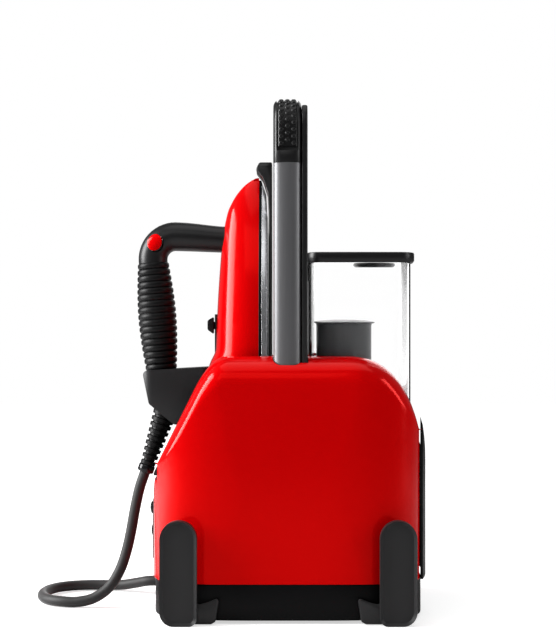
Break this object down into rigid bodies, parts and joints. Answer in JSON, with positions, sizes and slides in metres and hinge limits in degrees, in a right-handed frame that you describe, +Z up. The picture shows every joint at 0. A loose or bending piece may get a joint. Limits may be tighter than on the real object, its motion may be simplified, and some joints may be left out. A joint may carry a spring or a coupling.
{
  "type": "steam ironing station",
  "caption": "Compact steam station with a red housing, a lift-out clear water tank, a sliding carry handle and a corded iron docked upright.",
  "frame": {"origin": "on the floor under the middle of the object without its cord", "axes": "+Z up, +X towards the water tank at the rear, -X towards the docked iron at the front"},
  "size_m": [0.4216, 0.214, 0.535],
  "materials": {
    "base_tray": "satin",
    "side_shell_right": "gloss",
    "side_shell_left": "gloss",
    "front_panel": "gloss",
    "rear_cover": "satin",
    "top_deck": "satin",
    "tank_bay": "satin",
    "bumper_front_right": "matt",
    "bumper_front_left": "matt",
    "bumper_rear_right": "matt",
    "bumper_rear_left": "matt",
    "iron_rest": "satin",
    "heel_pad": "matt",
    "handle_guides": "satin",
    "boiler": "satin",
    "boiler_jacket": "woven",
    "boiler_cradle": "satin",
    "boiler_heater": "satin",
    "safety_valve": "satin",
    "pressure_switch": "satin",
    "steam_valve": "satin",
    "pump": "satin",
    "water_hose": "matt",
    "steam_pipe": "satin",
    "control_board": "gloss",
    "switch_board": "gloss",
    "mains_inlet": "satin",
    "tank_socket": "satin",
    "cord_gland": "matt",
    "control_bezel": "gloss",
    "case_screws": "satin",
    "steam_cord": "woven",
    "handle_legs": "satin",
    "handle_bar": "satin",
    "handle_inlay": "matt",
    "handle_trims": "satin",
    "handle_shoes": "satin",
    "soleplate": "satin",
    "heat_skirt": "satin",
    "iron_shell": "gloss",
    "steam_chamber": "satin",
    "steam_tube": "satin",
    "handle_arm": "satin",
    "grip_sleeve": "matt",
    "heel_cover": "satin",
    "strain_relief": "matt",
    "relief_collar": "gloss",
    "selector_track": "satin",
    "button_spring": "satin",
    "steam_button": "gloss",
    "steam_selector": "gloss",
    "water_tank": "gloss",
    "lid_bracket": "satin",
    "hinge_pin": "satin",
    "tank_lid": "gloss",
    "filter_cup": "gloss",
    "outlet_valve": "gloss",
    "power_button": "gloss",
    "mode_button": "gloss",
    "drain_plug": "satin"
  },
  "bodies": {
    "housing": {"base_tray": "base_tray", "side_shell_right": "side_shell_right", "side_shell_left": "side_shell_left", "front_panel": "front_panel", "rear_cover": "rear_cover", "top_deck": "top_deck", "tank_bay": "tank_bay", "bumper_front_right": "bumper_front_right", "bumper_front_left": "bumper_front_left", "bumper_rear_right": "bumper_rear_right", "bumper_rear_left": "bumper_rear_left", "iron_rest": "iron_rest", "heel_pad": "heel_pad", "handle_guides": "handle_guides", "boiler": "boiler", "boiler_jacket": "boiler_jacket", "boiler_cradle": "boiler_cradle", "boiler_heater": "boiler_heater", "safety_valve": "safety_valve", "pressure_switch": "pressure_switch", "steam_valve": "steam_valve", "pump": "pump", "water_hose": "water_hose", "steam_pipe": "steam_pipe", "control_board": "control_board", "switch_board": "switch_board", "mains_inlet": "mains_inlet", "tank_socket": "tank_socket", "cord_gland": "cord_gland", "control_bezel": "control_bezel", "case_screws": "case_screws", "steam_cord": "steam_cord"},
    "handle": {"handle_legs": "handle_legs", "handle_bar": "handle_bar", "handle_inlay": "handle_inlay", "handle_trims": "handle_trims", "handle_shoes": "handle_shoes"},
    "iron": {"soleplate": "soleplate", "heat_skirt": "heat_skirt", "iron_shell": "iron_shell", "steam_chamber": "steam_chamber", "steam_tube": "steam_tube", "handle_arm": "handle_arm", "grip_sleeve": "grip_sleeve", "heel_cover": "heel_cover", "strain_relief": "strain_relief", "relief_collar": "relief_collar", "selector_track": "selector_track", "button_spring": "button_spring"},
    "steam_button": {"steam_button": "steam_button"},
    "steam_selector": {"steam_selector": "steam_selector"},
    "tank": {"water_tank": "water_tank", "lid_bracket": "lid_bracket", "hinge_pin": "hinge_pin"},
    "lid": {"tank_lid": "tank_lid"},
    "filter": {"filter_cup": "filter_cup"},
    "outlet_valve": {"outlet_valve": "outlet_valve"},
    "power_button": {"power_button": "power_button"},
    "mode_button": {"mode_button": "mode_button"},
    "drain_plug": {"drain_plug": "drain_plug"}
  },
  "joints": [
    {"name": "handle_slide", "type": "slide", "parent": "housing", "child": "handle", "axis": [0, 0, 1], "range_m": [-0.11, 0]},
    {"name": "iron_tilt", "type": "hinge", "parent": "housing", "child": "iron", "pos_m": [-0.0214, 0, 0.4595], "axis": [0, 1, 0], "range_deg": [0, 20]},
    {"name": "steam_button_press", "type": "slide", "parent": "iron", "child": "steam_button", "axis": [0.7771, 0, -0.6293], "range_m": [0, 0.0025], "stiffness_N_per_m": 600, "springref_m": -0.002},
    {"name": "selector_slide", "type": "slide", "parent": "iron", "child": "steam_selector", "axis": [0, 0, -1], "range_m": [0, 0.014]},
    {"name": "tank_lift", "type": "slide", "parent": "housing", "child": "tank", "axis": [0, 0, 1], "range_m": [0, 0.15]},
    {"name": "lid_hinge", "type": "hinge", "parent": "tank", "child": "lid", "pos_m": [0.03, 0, 0.3671], "axis": [0, -1, 0], "range_deg": [0, 80]},
    {"name": "filter_lift", "type": "slide", "parent": "tank", "child": "filter", "axis": [0, 0, 1], "range_m": [0, 0.04]},
    {"name": "valve_lift", "type": "slide", "parent": "tank", "child": "outlet_valve", "axis": [0, 0, 1], "range_m": [0, 0.003], "stiffness_N_per_m": 100, "springref_m": -0.002},
    {"name": "power_press", "type": "slide", "parent": "housing", "child": "power_button", "axis": [1, 0, 0], "range_m": [0, 0.0012], "stiffness_N_per_m": 500, "springref_m": -0.001},
    {"name": "mode_press", "type": "slide", "parent": "housing", "child": "mode_button", "axis": [1, 0, 0], "range_m": [0, 0.0012], "stiffness_N_per_m": 500, "springref_m": -0.001},
    {"name": "drain_turn", "type": "hinge", "parent": "housing", "child": "drain_plug", "pos_m": [-0.0631, 0, 0.005], "axis": [0, 0, 1], "range_deg": [0, 90]}
  ]
}
